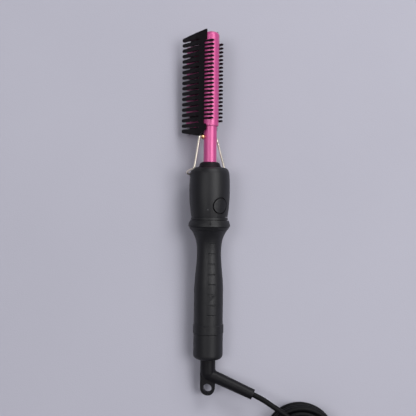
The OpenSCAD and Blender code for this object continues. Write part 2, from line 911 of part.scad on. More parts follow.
peg_r = 1;
peg_y = barrel_r + peg_r + 0.3;
peg_teeth = [2.5 - coarse_count / 2, 0.5, coarse_count / 2 - 2.5];
metal_end_room = 1;
metal_room = min(comb_mid_y - barrel_y, tip_y - comb_mid_y) - metal_end_room;
metal_count = 2 * floor(metal_room / metal_pitch) + 1;
heater_gap = 0.4;
heater_y = barrel_y + neck_in_barrel + heater_gap;
heater_end_y = tip_y - barrel_end_wall;

module comb_outline() {
    comb_half = (metal_count - 1) / 2 * metal_pitch + metal_tooth_w / 2;
    translate([-comb_half, -web_low]) square([2 * comb_half, web_low - barrel_r / 2]);
    for (i = [0:metal_count - 1])
        translate([(i - (metal_count - 1) / 2) * metal_pitch, 0]) {
            tip_r = metal_tooth_w * 0.38;
            polygon([
                [-metal_tooth_w / 2, -web_low + 0.2],
                [-tip_r, -metal_reach + tip_r],
                [tip_r, -metal_reach + tip_r],
                [metal_tooth_w / 2, -web_low + 0.2]
            ]);
            translate([0, -metal_reach + tip_r]) circle(r = tip_r);
        }
}

module comb_barrel() {
    color("#f0689f")
        lying()
            difference() {
                union() {
                    along(barrel_y)
                        rotate_extrude()
                            polygon(concat(
                                [[0, 0], [barrel_r - 0.4, 0], [barrel_r, 0.4]],
                                [for (a = [0:15:90]) [
                                    barrel_r - barrel_edge_r + barrel_edge_r * cos(a),
                                    barrel_len - barrel_edge_r + barrel_edge_r * sin(a)
                                ]],
                                [[0, barrel_len]]
                            ));
                    intersection() {
                        tooth_plane(-metal_root_t, 2 * metal_root_t) comb_outline();
                        comb_prism(2 * guard_half)
                            polygon([
                                [-metal_root_t / 2, -barrel_r / 2],
                                [-metal_root_t / 2, -web_low],
                                [-metal_tip_t / 2, -metal_reach],
                                [metal_tip_t / 2, -metal_reach],
                                [metal_root_t / 2, -web_low],
                                [metal_root_t / 2, -barrel_r / 2]
                            ]);
                    }
                }
                along(barrel_y - 1) cylinder(r = neck_r + seat_gap, h = neck_in_barrel + 1 + heater_gap / 2);
                along(barrel_y) cylinder(r = heater_d / 2 + run_gap, h = heater_end_y - barrel_y);
                for (i = peg_teeth)
                    translate([0, coarse_mid_y + i * coarse_pitch, -peg_y])
                        rotate([0, 90, 0])
                            cylinder(r = peg_r + seat_gap, h = 20, center = true);
            }
}

module heater() {
    color("#e9e4d6")
        lying() along(heater_y) cylinder(r = heater_d / 2, h = heater_end_y - heater_gap - heater_y);
}

module thermistor() {
    bead_r = 1.1;
    color("#b5483a")
        lying()
            outward(heater_y - 4.2, button_turn)
                translate([0, 0, neck_bore_r - bead_r - run_gap])
                    rotate([-90, 0, 0]) cylinder(r = bead_r, h = 4, $fn = 24);
}

module heater_leads() {
    lead_y = board_y + board_len - 4;
    color("#e6e0d0")
        lying()
            for (side = [-1, 1])
                outward(lead_y, button_turn, side * 1.6)
                    rotate([-90, 0, 0]) cylinder(r = lead_r, h = heater_y - lead_y, $fn = 24);
}

// ---- Comb guards ----

boss_top = 1.4;
plate_corner = 8.5;
tip_edge_lean = atan(plate_lean / (boss_top + coarse_reach - tooth_tip_r));

module coarse_tooth(x) {
    translate([x, 0]) {
        polygon([
            [-coarse_w / 2 - 0.1, -spine_low + 0.5],
            [-tooth_tip_r, -coarse_reach + tooth_tip_r],
            [tooth_tip_r, -coarse_reach + tooth_tip_r],
            [coarse_w / 2 + 0.1, -spine_low + 0.5]
        ]);
        translate([0, -coarse_reach + tooth_tip_r]) circle(r = tooth_tip_r);
    }
}

// End plate on the side that x is positive on. Its outer edge leans in to its tip, with most of
// the lean below the corner's height.
module end_plate(teeth_mid, plate_tip, corner) {
    tip_x = plate_tip - tooth_tip_r;
    plate_in = teeth_mid + (coarse_count + 1) / 2 * coarse_pitch - coarse_w / 2;
    corner_out = (guard_half - plate_tip) * 0.4;
    low = -coarse_reach + tooth_tip_r;
    polygon([
        [plate_in, -spine_low + 0.5],
        [plate_in, low],
        [plate_in + tooth_tip_r, low - tooth_tip_r],
        [tip_x, low - tooth_tip_r],
        [plate_tip, low],
        [guard_half - corner_out, corner],
        [guard_half, -spine_low + 3.4],
        [plate_in, -spine_low + 3.4]
    ]);
    translate([plate_in + tooth_tip_r, low]) circle(r = tooth_tip_r);
    translate([tip_x, low]) circle(r = tooth_tip_r);
}

module fine_tooth(x) {
    translate([x - fine_w / 2, -spine_top - 0.5])
        square([fine_w, fine_reach - fine_w / 2 + spine_top + 0.5]);
    translate([x, fine_reach - fine_w / 2]) circle(r = fine_w / 2);
}

// The flat outline of a guard, with its fine teeth shifted towards the tip.
module guard_outline(fine_shift) {
    teeth_mid = coarse_mid_y - comb_mid_y;
    translate([-guard_half, -spine_low]) square([2 * guard_half, spine_low - spine_top]);
    for (i = [0:coarse_count - 1])
        coarse_tooth(teeth_mid + (i - (coarse_count - 1) / 2) * coarse_pitch);
    end_plate(teeth_mid, front_plate_tip, plate_corner - coarse_reach);
    mirror([1, 0]) end_plate(-teeth_mid, back_plate_tip, plate_corner - coarse_reach);
    for (i = [0:fine_count - 1])
        fine_tooth((i - (fine_count - 1) / 2) * fine_pitch + fine_shift);
    for (side = [0, 1])
        mirror([side, 0]) {
            // Boss that laps the end of the barrel.
            translate([guard_half - boss_len, -spine_low]) square([boss_len, spine_low + boss_top - 1]);
            translate([guard_half - boss_len + 1, -spine_low]) square([boss_len - 1, spine_low + boss_top]);
            translate([guard_half - boss_len + 1, boss_top - 1]) circle(r = 1);
        }
}

// A guard on the side that x is positive on.
module guard(fine_shift) {
    difference() {
        intersection() {
            tooth_plane(guard_in - guard_lean, guard_t + guard_lean) guard_outline(fine_shift);
            comb_prism(2 * guard_half + 2)
                polygon([
                    [guard_in, fine_reach + 1],
                    [guard_in, -web_low],
                    [guard_in + tip_taper - guard_lean, -coarse_reach - 1],
                    [guard_out - tip_taper - guard_lean, -coarse_reach - 1],
                    [guard_out, -web_low],
                    [guard_out, 0],
                    [guard_out - 0.8, fine_reach + 1]
                ]);
        }
        along(comb_mid_y - guard_half - 1) cylinder(r = barrel_r + run_gap, h = 2 * guard_half + 2);
        // One straight edge leans in all along the tip's boss and end plate.
        translate([0, comb_mid_y + guard_half, boss_top])
            rotate([-tip_edge_lean, 0, 0])
                translate([0, 0, -2 * coarse_reach]) cube([20, 10, 2 * coarse_reach + 5]);
        // Corner cut away beside the neck, clear of the stand's hinge.
        translate([0, barrel_y - guard_back, -spine_low + 1])
            rotate([60, 0, 0])
                translate([0, -5, 0]) cube([20, 15, 20]);
    }
    for (i = peg_teeth)
        translate([0.3, coarse_mid_y + i * coarse_pitch, -peg_y])
            rotate([0, 90, 0]) cylinder(r = peg_r, h = guard_in + 1);
}

module rear_guard() {
    color("#1b1b1e") lying() guard(0);
}

module front_guard() {
    color("#1b1b1e") lying() mirror([1, 0, 0]) guard(fine_stagger);
}

// ---- Wire stand ----

bend_r = [0, 1.3, 2, 0];
foot_step = 2;
foot_start = asin(-foot_mid / foot_r) + foot_step / foot_r * 180 / PI;

function turn_at(p, i) = acos(unit(p[i] - p[i - 1]) * unit(p[i + 1] - p[i]));
function bend_cut(p, i) = bend_r[i] > 0 ? bend_r[i] * tan(turn_at(p, i) / 2) : 0;

// The stretch of wire from point i to the next one. It is drawn a hair thinner than the bends,
// so that its ends lie inside them.
module straight(p, i) {
    lap = 0.1;
    dir = unit(p[i + 1] - p[i]);
    start = p[i] + dir * (bend_cut(p, i) - lap);
    run = norm(p[i + 1] - p[i]) - bend_cut(p, i) - bend_cut(p, i + 1);
    translate(start)
        rotate([0, acos(dir[2]), atan2(dir[1], dir[0])])
            cylinder(r = wire_r - 0.015, h = run + 2 * lap, $fn = 32);
}

// The bend at point i, as a part of a true ring.
module bend(p, i) {
    dir = unit(p[i] - p[i - 1]);
    turn = turn_at(p, i);
    side = unit(unit(p[i + 1] - p[i]) - dir * cos(turn));
    mid = p[i] - dir * bend_cut(p, i) + side * bend_r[i];
    up = cross(-side, dir);
    multmatrix([
        [-side[0], dir[0], up[0], mid[0]],
        [-side[1], dir[1], up[1], mid[1]],
        [-side[2], dir[2], up[2], mid[2]]
    ])
        rotate_extrude(angle = turn) translate([bend_r[i], 0]) circle(r = wire_r, $fn = 32);
}

// A point of the foot's plane: u across the tool, w down the slant.
function foot_point(u, w) = [u, foot_y - w * sin(foot_slant), -w * cos(foot_slant)];

module wire_stand() {
    arc_u = foot_r * cos(foot_start);
    arc_w = foot_mid + foot_r * sin(foot_start);
    path = [
        [pin_in, hinge_y, -hinge_low],
        [leg_out, hinge_y, -hinge_low],
        foot_point(arc_u + foot_step * sin(foot_start), arc_w - foot_step * cos(foot_start)),
        foot_point(arc_u, arc_w)
    ];
    color("#c9b27a")
        lying() {
            for (side = [0, 1])
                mirror([side, 0, 0]) {
                    for (i = [0:2]) straight(path, i);
                    for (i = [1:2]) bend(path, i);
                }
            translate(foot_point(0, foot_mid))
                rotate([-90 - foot_slant, 0, 0])
                    rotate([0, 0, foot_start])
                        rotate_extrude(angle = 180 - 2 * foot_start)
                            translate([foot_r, 0]) circle(r = wire_r, $fn = 32);
        }
}

// ---- Cord boot and swivel ----

// The boot's own frame: X along its strain relief's side, Y along the tool, Z across the loop.
module boot_frame() {
    lying() rotate([0, -lie_roll - arm_lift, 0]) children();
}

module arm_place() {
    translate([0, -elbow_at, 0]) rotate([0, 0, -arm_lean]) rotate([0, 90, 0]) children();
}

spigot_low = -7;
fillet_r = 3.6;

// Fillet in the corner between the stem and the strain relief, as a part of a ring's inner side.
module boot_fillet() {
    corner = 90 - arm_lean;
    // The fillet is sunk a little into both flanks.
    sink = 0.3;
    stem_r = boot_d / 2 - sink;
    arm_r = arm_root_d / 2 - sink;
    // Middle of the fillet's circle: fillet_r outside both flanks.
    mid_x = stem_r + fillet_r;
    mid_y = (arm_r + fillet_r) / cos(arm_lean) - mid_x * tan(arm_lean);
    translate([mid_x, mid_y - elbow_at, 0])
        rotate([0, 0, 180])
            rotate_extrude(angle = corner) translate([fillet_r + arm_r, 0]) circle(r = arm_r);
}

module cord_boot() {
    color("#1a1a1c")
        boot_frame()
            difference() {
                union() {
                    along(-elbow_at + 1) cylinder(r = boot_d / 2, h = elbow_at - 1 - face_gap);
                    translate([0, -elbow_at + 1.2, 0]) sphere(r = boot_d / 2 - 0.15);
                    arm_place() cylinder(r1 = arm_root_d / 2, r2 = arm_tip_d / 2, h = arm_len);
                    boot_fillet();
                    translate([0, 0, -loop_t / 2])
                        linear_extrude(loop_t) {
                            translate([0, -loop_at]) circle(r = loop_d / 2);
                            translate([-loop_d / 2, -loop_at]) square([loop_d, loop_at - elbow_at + 1]);
                        }
                }
                translate([0, -loop_at, 0]) cylinder(r = loop_hole_d / 2, h = 2 * boot_d, center = true);
                along(spigot_low) cylinder(r = spigot_r + seat_gap, h = 10);
                arm_place() translate([0, 0, arm_len - 8]) cylinder(r = cord_r + run_gap, h = 9);
            }
}

module swivel_spigot() {
    color("#2b2b2e")
        boot_frame() {
            along(spigot_low) cylinder(r = spigot_r, h = spigot_tip - spigot_low);
            along(cap_floor + 0.2) cylinder(r = spigot_r + 1.6, h = 1.8);
        }
}

module contact_rings() {
    color("#c9a24a")
        boot_frame()
            for (y = ring_stations)
                along(y) ring_solid(contact_r, spigot_r + seat_gap, contact_w);
}

// ---- Cord and plug ----

// Route of the cord from inside the strain relief, up onto the coil and once round on top of it.
lead_route = [
    [24.9, -144.5, 14.5], [29.7, -146.5, 15.1], [34.2, -148.5, 15.8], [39, -150.9, 17.2],
    [43.6, -153.7, 18.7], [49.5, -157.3, 19.7], [57, -162.2, 19.9], [64.5, -167.5, 19.9],
    [72.5, -173.4, 19.9], [80.6, -179.6, 19.9], [84.7, -183.9, 19.9], [87.3, -189.2, 19.9],
    [88.1, -195.1, 19.9], [87.1, -201, 19.9], [84.3, -206.2, 19.9], [80, -210.4, 19.9],
    [74.7, -213, 19.9], [68.5, -213.8, 19.9]
];
coil_at = [69.5, -185.4];
coil_mid_r = 24;
coil_rows = 4;
coil_cols = 3;
// Route of the cord from the coil's outer turn to the plug.
tail_route = [
    [69.5, -213.8, 2.3], [61.5, -213.6, 2.4], [53.5, -212, 3], [46, -208.3, 4.6],
    [39.5, -204.5, 6.6], [33.2, -201.4, 7.5], [27.5, -199.2, 7.5]
];
plug_turn = 160;
plug_at = [29.5, -199.9];

function unit(v) = v / norm(v);
function route_dir(p, i) = unit(p[min(i + 1, len(p) - 1)] - p[max(i - 1, 0)]);
function route_ring(p, i, r, sides) =
    let (
        dir = route_dir(p, i),
        side = unit(cross(dir, [0, 0, 1])),
        up = cross(side, dir)
    )
    [for (k = [0:sides - 1]) p[i] + r * (cos(360 * k / sides) * side + sin(360 * k / sides) * up)];

// A closed tube with one ring of corners at each point of the route.
module tube(route, r, sides = 10) {
    rings = len(route);
    corners = [for (i = [0:rings - 1]) each route_ring(route, i, r, sides)];
    walls = [for (i = [0:rings - 2], k = [0:sides - 1])
        let (next = (k + 1) % sides)
        [i * sides + k, i * sides + next, (i + 1) * sides + next, (i + 1) * sides + k]];
    first_end = [for (k = [sides - 1:-1:0]) k];
    last_end = [for (k = [0:sides - 1]) (rings - 1) * sides + k];
    polyhedron(points = corners, faces = concat([first_end], walls, [last_end]), convexity = 6);
}

module cord_lead() {
    color("#1a1a1c") tube(lead_route, cord_r);
}

module cord_tail() {
    color("#1a1a1c") tube(tail_route, cord_r);
}

module cord_coil() {
    coil_w = coil_cols * cord_d;
    coil_h = coil_rows * cord_d;
    color("#1a1a1c")
        translate([coil_at[0], coil_at[1], 0])
            ring_solid(coil_mid_r + coil_w / 2, coil_mid_r - coil_w / 2, coil_h);
}

module plug_place() {
    translate([plug_at[0], plug_at[1], plug_t / 2]) rotate([0, 0, plug_turn]) children();
}

// The plug lies on its broad side, with X from the cord to the pins.
module plug_body() {
    corner = 4;
    color("#1a1a1c")
        plug_place()
            difference() {
                union() {
                    translate([0, 0, -plug_t / 2])
                        linear_extrude(plug_t) {
                            translate([plug_len - 8, -plug_w / 2]) square([8, plug_w]);
                            polygon([
                                [corner, -plug_w / 2 + 5], [plug_len - 7.9, -plug_w / 2],
                                [plug_len - 7.9, plug_w / 2], [corner, plug_w / 2 - 5]
                            ]);
                            translate([corner, plug_w / 2 - 5 - corner]) circle(r = corner);
                            translate([corner, -plug_w / 2 + 5 + corner]) circle(r = corner);
                            translate([0, -plug_w / 2 + 5 + corner])
                                square([corner + 1, plug_w - 10 - 2 * corner]);
                        }
                    translate([-9, 0, 0]) rotate([0, 90, 0]) cylinder(r1 = 3.4, r2 = 4.4, h = 10);
                }
                translate([-10, 0, 0]) rotate([0, 90, 0]) cylinder(r = cord_r + run_gap, h = 12.6);
                for (side = [-1, 1])
                    translate([plug_len - 6, side * pin_spacing / 2, 0])
                        cube([20, 1.54, 6.34], center = true);
            }
}

module plug_pins() {
    pin_root = 6;
    color("#c8c9cc")
        plug_place()
            for (side = [-1, 1])
                translate([plug_len - pin_root + 0.1, side * pin_spacing / 2, 0])
                    translate([0, -0.75, -3.15]) cube([pin_root + pin_len, 1.5, 6.3]);
}

front_casing();
rear_casing();
casing_screws();
nose_collar();
grip();
tail_ring();
tail_cap();
terminal_block();
swivel_contacts();
supply_leads();
control_board();
board_components();
tact_switch();
indicator_led();
indicator_lens();
dial_track();
neck_tube();
insulating_sleeve();
neck_screw();
stand_bushes();
comb_barrel();
heater();
thermistor();
heater_leads();
front_guard();
rear_guard();
heat_dial();
dial_wiper();
power_button();
switch_plunger();
wire_stand();
cord_boot();
swivel_spigot();
contact_rings();
cord_lead();
cord_coil();
cord_tail();
plug_body();
plug_pins();
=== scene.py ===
# %% [markdown]
# # An electric hot comb
#
# A hot comb is a heated metal comb on a plastic handle. Two black guards stand beside the metal
# teeth and keep the hot metal off the skin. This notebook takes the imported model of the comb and
# gives it its finishes, its cord, a table and studio light.

import json
import math

import bpy
from mathutils import Matrix, Vector


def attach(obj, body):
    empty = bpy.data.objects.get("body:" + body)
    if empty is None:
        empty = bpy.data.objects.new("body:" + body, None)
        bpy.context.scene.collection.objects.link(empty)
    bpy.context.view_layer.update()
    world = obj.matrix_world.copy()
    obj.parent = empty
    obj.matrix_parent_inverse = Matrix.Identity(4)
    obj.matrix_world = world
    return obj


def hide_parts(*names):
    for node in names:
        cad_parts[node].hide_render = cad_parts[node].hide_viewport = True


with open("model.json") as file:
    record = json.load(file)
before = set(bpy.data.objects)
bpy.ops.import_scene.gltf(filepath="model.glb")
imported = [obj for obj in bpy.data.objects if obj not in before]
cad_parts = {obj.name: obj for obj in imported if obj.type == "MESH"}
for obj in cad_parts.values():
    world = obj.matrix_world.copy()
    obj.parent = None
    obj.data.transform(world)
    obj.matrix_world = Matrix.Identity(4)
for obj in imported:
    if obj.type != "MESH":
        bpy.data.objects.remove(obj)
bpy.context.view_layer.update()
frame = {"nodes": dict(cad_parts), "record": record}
nodes = frame["nodes"]
joints = {joint["name"]: joint for joint in frame["record"]["behaviour"]["joints"]}
print("nodes:", len(nodes), "joints:", sorted(joints))

# %% [markdown]
# ## The comb's long axis
#
# The comb lies tilted on the table, so its length is not along one of the world's axes. It could
# be typed in as a direction, but the record knows it already: the cord's swivel turns on the long
# axis. A point of the comb is then one number, its distance from the end cap.

# %% Find the long axis
along = Vector(joints["cord_swivel"]["axis"])
swivel_at = Vector(joints["cord_swivel"]["pos_m"])
SWIVEL_STATION = 0.003
BARREL_TIP_STATION = 0.2674


def station(distance):
    """The point of the long axis at a distance in metres from the end cap's rear face."""
    return swivel_at + along * (distance - SWIVEL_STATION)


print("tip of the barrel:", [round(c, 4) for c in station(BARREL_TIP_STATION)])

# %% [markdown]
# ## The camera
#
# The comb is seen from almost straight above, with a lens that is a little longer than normal.
# A camera looks along its own -Z with its Y upward, so three axes make its matrix: the way back
# from the comb, the way to the right, and what is left for up. A small roll turns the view.

# %% Place the camera
CAMERA_STATION = 0.1235
CAMERA_SIDE = -0.0012
CAMERA_DISTANCE = 0.533
CAMERA_ELEVATION = math.radians(87)
CAMERA_ROLL = math.radians(0.61)
CAMERA_LENS = 56.2

camera = bpy.data.objects.new("camera", bpy.data.cameras.new("camera"))
bpy.context.scene.collection.objects.link(camera)
back = Vector((0, -math.cos(CAMERA_ELEVATION), math.sin(CAMERA_ELEVATION)))
right = Vector((math.cos(CAMERA_ROLL), 0, 0)) + Vector((0, math.sin(CAMERA_ROLL), 0))
right = (right - back * right.dot(back)).normalized()
up = back.cross(right)
target = station(CAMERA_STATION) + Vector((CAMERA_SIDE, 0, 0))
camera_at = target + back * CAMERA_DISTANCE
turned = Matrix((right, up, back)).transposed()
camera.matrix_world = Matrix.Translation(camera_at) @ turned.to_4x4()
camera.data.lens = CAMERA_LENS
camera.data.clip_start, camera.data.clip_end = 0.01, 20
bpy.context.scene.camera = camera
print("camera at", [round(c, 3) for c in camera_at])

# %% [markdown]
# ## The cord
#
# A mains cord has a fixed length, here 1.8 m, and it is thick enough that it bends in wide curves
# only. One curve object is right for it, because a curve keeps its thickness everywhere. Its
# points come in three parts: the free stretch out of the strain relief and over the coil, the
# turns of the coil, and the short stretch to the plug.

# %% Sizes of the cord and its coil
CORD_DIAMETER = 0.0044
COIL_MIDDLE = Vector((0.0695, -0.1854))
COIL_RADIUS = 0.024
COIL_ROWS = 4
COIL_COLUMNS = 3
LOOP_RADIUS = 0.019
LOOP_MIDDLE = COIL_MIDDLE + Vector((-0.00036, -0.00939))
TABLE_GAP = 0.0001
TURN_STEP = math.radians(15)
SHIFT_ANGLE = math.radians(90)
LOOP_START, LOOP_END = math.radians(-53), math.radians(92)
TAIL_ANGLE = math.radians(90)
COIL_OUTSIDE = 2 * COIL_RADIUS + COIL_COLUMNS * CORD_DIAMETER
print(f"coil: {COIL_ROWS * COIL_COLUMNS} turns, {COIL_OUTSIDE * 1000:.0f} mm across outside")

# %% [markdown]
# The coil is wound as a hand does it, layer on layer from the top. Within a layer every turn
# steps sideways at the same place, and the cord drops to the next layer just behind that place,
# so the turns stay a diameter apart. The angle counts clockwise, as the cord runs.

# %% Wind the coil


def smooth(value):
    """0 to 1 with a soft start and a soft end."""
    value = min(1.0, max(0.0, value))
    return value * value * (3 - 2 * value)


def layer_height(layer):
    """Height of the cord's middle in a layer, with layer 0 on top and layer -1 lying on it."""
    return (COIL_ROWS - layer - 0.5) * CORD_DIAMETER + TABLE_GAP


def column_radius(column):
    return COIL_RADIUS + (column - (COIL_COLUMNS - 1) / 2) * CORD_DIAMETER


def coil_places():
    """Angle, radius and height of the cord from the end of its loop to the end of the coil."""
    turn = 2 * math.pi
    moves = [(LOOP_END, "drop")]
    for layer in range(COIL_ROWS):
        start = LOOP_END - (layer + 1) * SHIFT_ANGLE + layer * COIL_COLUMNS * turn
        moves += [(start + turn * (i + 1), "shift") for i in range(COIL_COLUMNS - 1)]
        if layer < COIL_ROWS - 1:
            moves.append((start + turn * COIL_COLUMNS, "drop"))
    end = TAIL_ANGLE + turn * (COIL_ROWS * COIL_COLUMNS - 1)
    angle, places = LOOP_END, []
    while angle < end - TURN_STEP / 2:
        layer, column, way = -1.0, COIL_COLUMNS - 1.0, -1
        for start, kind in moves:
            done = smooth((angle - start) / SHIFT_ANGLE)
            if kind == "shift":
                column += way * done
            else:
                layer += done
                way = -way if start > LOOP_END and done > 0 else way
        places.append((angle, column_radius(column), layer_height(layer)))
        angle += TURN_STEP
    return places


def round_coil(middle, angle, radius, height):
    return (middle.x + radius * math.cos(angle), middle.y - radius * math.sin(angle), height)


turns = [round_coil(COIL_MIDDLE, *place) for place in coil_places()]
print("points in the coil:", len(turns))

# %% [markdown]
# The free stretch runs straight out of the strain relief, climbs onto the coil and bends round on
# top of it, nowhere tighter than four diameters. The last stretch leaves the lowest outer turn
# and rises a little to the plug's middle. A curve's thickness is its bevel depth times the radius
# of each point. Here the depth is 1 and the radius is the cord's own, because Blender pads a
# curve's box by that radius, and a radius of 1 would make the box two metres too wide. The
# smooth cord cuts the corners between its points, so it is about a centimetre shorter than the
# steps from point to point.

# %% Make the cord's curve
LEAD = [
    (24.9, -144.5, 14.5), (29.7, -146.5, 15.1), (34.2, -148.5, 15.8), (39, -150.9, 17.2),
    (43.6, -153.7, 18.7), (49.5, -157.3, 19.7), (57, -162.2, 19.9), (64.5, -167.5, 19.9),
    (72.5, -173.4, 19.9),
]
TAIL = [
    (69.5, -213.8, 2.3), (61.5, -213.6, 2.4), (53.5, -212, 3), (46, -208.3, 4.6),
    (39.5, -204.5, 6.6), (33.2, -201.4, 7.5), (27.5, -199.2, 7.5),
]


def in_metres(points):
    return [tuple(c / 1000 for c in point) for point in points]


top = layer_height(-1)
LOOP_STEPS = 8
loop = [
    round_coil(LOOP_MIDDLE, LOOP_START + (LOOP_END - LOOP_START) * i / LOOP_STEPS, LOOP_RADIUS, top)
    for i in range(LOOP_STEPS)
]
cord_points = in_metres(LEAD[1:]) + loop + turns + in_metres(TAIL)

curve = bpy.data.curves.new("mains_cord", "CURVE")
curve.dimensions = "3D"
curve.bevel_depth = 1.0
curve.bevel_resolution = 4
curve.resolution_u = 3
curve.use_fill_caps = True
spline = curve.splines.new("NURBS")
spline.points.add(len(cord_points) - 1)
for point, centre in zip(spline.points, cord_points):
    point.co = (*centre, 1)
    point.radius = CORD_DIAMETER / 2
spline.order_u = 3
spline.use_endpoint_u = True
mains_cord = bpy.data.objects.new("mains_cord", curve)
bpy.context.scene.collection.objects.link(mains_cord)
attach(mains_cord, "cord_set")
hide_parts("cord_lead", "cord_coil", "cord_tail")
steps = [(Vector(a) - Vector(b)).length for a, b in zip(cord_points, cord_points[1:])]
print(f"cord: {len(cord_points)} points, {sum(steps):.3f} m from point to point")

# %% [markdown]
# ## Writing shaders as sums
#
# A shader's mask is often a short sum, such as noise times two less one. Each step of it could
# be a node placed by hand, but then the sum is hard to read. The class below holds one socket,
# and Python's own operators add the Math nodes. The finish class holds one material, or the
# world: `node` adds any other node, with its settings first and its sockets' values or links
# after. A colour goes through a Mix node, because a Math node would turn it grey.

# %% A socket that can be added and multiplied, and a finish that holds its nodes


class Value:
    """A number that changes over a surface: one socket of a finish's node tree."""

    def __init__(self, finish, socket):
        self.finish, self.socket = finish, socket

    def math(self, operation, *inputs):
        values = dict(enumerate(inputs))
        return self.finish.node("ShaderNodeMath", {"operation": operation}, values)

    def __add__(self, other):
        return self.math("ADD", self, other)

    def __sub__(self, other):
        return self.math("SUBTRACT", self, other)

    def __rsub__(self, other):
        return self.math("SUBTRACT", other, self)

    def __mul__(self, other):
        return self.math("MULTIPLY", self, other)

    def __pow__(self, other):
        return self.math("POWER", self, other)

    def __rpow__(self, other):
        return self.math("POWER", other, self)

    __radd__, __rmul__ = __add__, __mul__

    def limited(self):
        """The same value, held between 0 and 1."""
        return self.finish.node("ShaderNodeClamp", {}, {"Value": self, "Min": 0.0, "Max": 1.0})


class Finish:
    """One material, or the world, with its shader and the nodes that feed it."""

    def __init__(self, name, kind=bpy.data.materials, shader="Principled BSDF", **sockets):
        self.owner = kind.new(name)
        self.owner.use_nodes = True
        self.tree = self.owner.node_tree
        self.shader = self.tree.nodes[shader]
        self.place = self.node("ShaderNodeTexCoord", {}, {}, "Object")
        self.set(self.shader, {key.replace("_", " "): v for key, v in sockets.items()})

    def set(self, node, values):
        for key, value in values.items():
            if isinstance(value, Value):
                self.tree.links.new(value.socket, node.inputs[key])
            elif isinstance(value, tuple) and len(value) == 3 and node.inputs[key].type == "RGBA":
                node.inputs[key].default_value = (*value, 1)
            else:
                node.inputs[key].default_value = value

    def node(self, kind, settings, inputs, output=0):
        """Any node: its type, its settings, and the values or links of its sockets."""
        made = self.tree.nodes.new(kind)
        for key, value in settings.items():
            setattr(made, key, value)
        self.set(made, inputs)
        return Value(self, made.outputs[output])

    def noise(self, scale, detail=2.0, roughness=0.5, stretch=(1, 1, 1)):
        """Soft random spots, scale of them to a metre, from 0 to 1."""
        place = self.node("ShaderNodeMapping", {}, {"Vector": self.place, "Scale": stretch})
        return self.node(
            "ShaderNodeTexNoise",
            {},
            {"Vector": place, "Scale": scale, "Detail": detail, "Roughness": roughness},
            "Fac",
        )

    def shade(self, mask, dark, pale):
        """A colour between two others."""
        return self.node(
            "ShaderNodeMix", {"data_type": "RGBA"}, {0: mask, 6: (*dark, 1), 7: (*pale, 1)}, 2
        )

    def bump(self, height, depth):
        """A normal that follows a height from 0 to 1, depth metres deep."""
        return self.node(
            "ShaderNodeBump", {}, {"Height": height, "Strength": 1.0, "Distance": depth}, "Normal"
        )

    def finish(self, **sockets):
        """The finished material or world, once its last sockets are set."""
        self.set(self.shader, {key.replace("_", " "): v for key, v in sockets.items()})
        return self.owner


def linear(*levels):
    """A colour's linear values from its screen values of 0 to 255."""
    return tuple(
        c / 12.92 if c <= 0.04045 else ((c + 0.055) / 1.055) ** 2.4
        for c in (level / 255 for level in levels)
    )


print("a screen value of 128 is", round(linear(128)[0], 3), "as light")

# %% [markdown]
# ## Black moulded plastic
#
# The handle, the guards and the button are injection moulded. Such a surface is never a mirror:
# the mould leaves a fine grain, the colour wanders a little, and hands polish it in patches. So
# a plastic here is one dark colour with three noises: one for the shade, one for the polish and
# one, much finer, for the grain that breaks up the highlight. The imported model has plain
# materials of the same names already, so Blender adds .001 to these.

# %% The plastics


def moulded_plastic(name, dark, pale, polish, grain_scale, grain_depth, **sockets):
    """A moulded plastic: polish is the lowest and the highest roughness."""
    plastic = Finish(name, **sockets)
    cloud = plastic.noise(60, 3)
    rub = plastic.noise(160, 4, 0.6)
    grain = plastic.noise(grain_scale, 2)
    return plastic.finish(
        Base_Color=plastic.shade(cloud, dark, pale),
        Roughness=rub * (polish[1] - polish[0]) + polish[0],
        Normal=plastic.bump(grain, grain_depth),
    )


# The slight blue in the handle's black is painted reflection of the lilac table.
handle_plastic = moulded_plastic(
    "handle_plastic", linear(9, 9, 13), linear(15, 15, 20), (0.43, 0.54), 2600, 0.00005,
    Specular_IOR_Level=0.46,
)
collar_plastic = moulded_plastic(
    "collar_plastic", linear(14, 6, 14), linear(19, 10, 18), (0.5, 0.62), 2000, 0.00006,
    Specular_IOR_Level=0.25,
)
button_plastic = moulded_plastic(
    "button_plastic", linear(14, 14, 18), linear(21, 21, 26), (0.42, 0.52), 2600, 0.00004,
    Specular_IOR_Level=0.42,
)
guard_plastic = moulded_plastic(
    "guard_plastic", linear(12, 8, 12), linear(17, 12, 16), (0.42, 0.54), 1800, 0.00002,
    Specular_IOR_Level=0.2,
)
insulator_black = moulded_plastic(
    "insulator_black", linear(30, 30, 31), linear(40, 40, 41), (0.5, 0.6), 2000, 0.00004
)
insulator = moulded_plastic(
    "insulator", linear(206, 198, 176), linear(222, 216, 198), (0.5, 0.6), 1500, 0.00004
)
component = moulded_plastic(
    "component", linear(44, 44, 48), linear(60, 60, 66), (0.45, 0.6), 1500, 0.00004
)
track_board = moulded_plastic(
    "track_board", linear(104, 82, 58), linear(128, 104, 76), (0.55, 0.7), 900, 0.00004
)
board_green = moulded_plastic(
    "board_green", linear(24, 84, 50), linear(36, 104, 62), (0.35, 0.5), 1200, 0.00003
)
print("black plastics:", handle_plastic.name, collar_plastic.name, guard_plastic.name)

# %% [markdown]
# ## The pink metal
#
# The comb and its neck are aluminium with a pink coat that has fine metal flakes in it. A coated
# metal shows a broad bright band and falls off to a deep tone of the same colour at its sides.
# A part-metallic base gives that fall-off, and a clear coat over it gives the pale band. Fine
# noise in the roughness stands for the flakes. The stand's wire and the brass bushes are bare.

# %% The metals


def coated_metal(name, dark, pale, polish, flake_scale, **sockets):
    """A metal under a coloured coat: the flakes make both its polish and its grain."""
    metal = Finish(name, **sockets)
    cloud = metal.noise(45, 2)
    flake = metal.noise(flake_scale, 1)
    return metal.finish(
        Base_Color=metal.shade(cloud, dark, pale),
        Roughness=flake * (polish[1] - polish[0]) + polish[0],
        Normal=metal.bump(flake, 0.00001),
    )


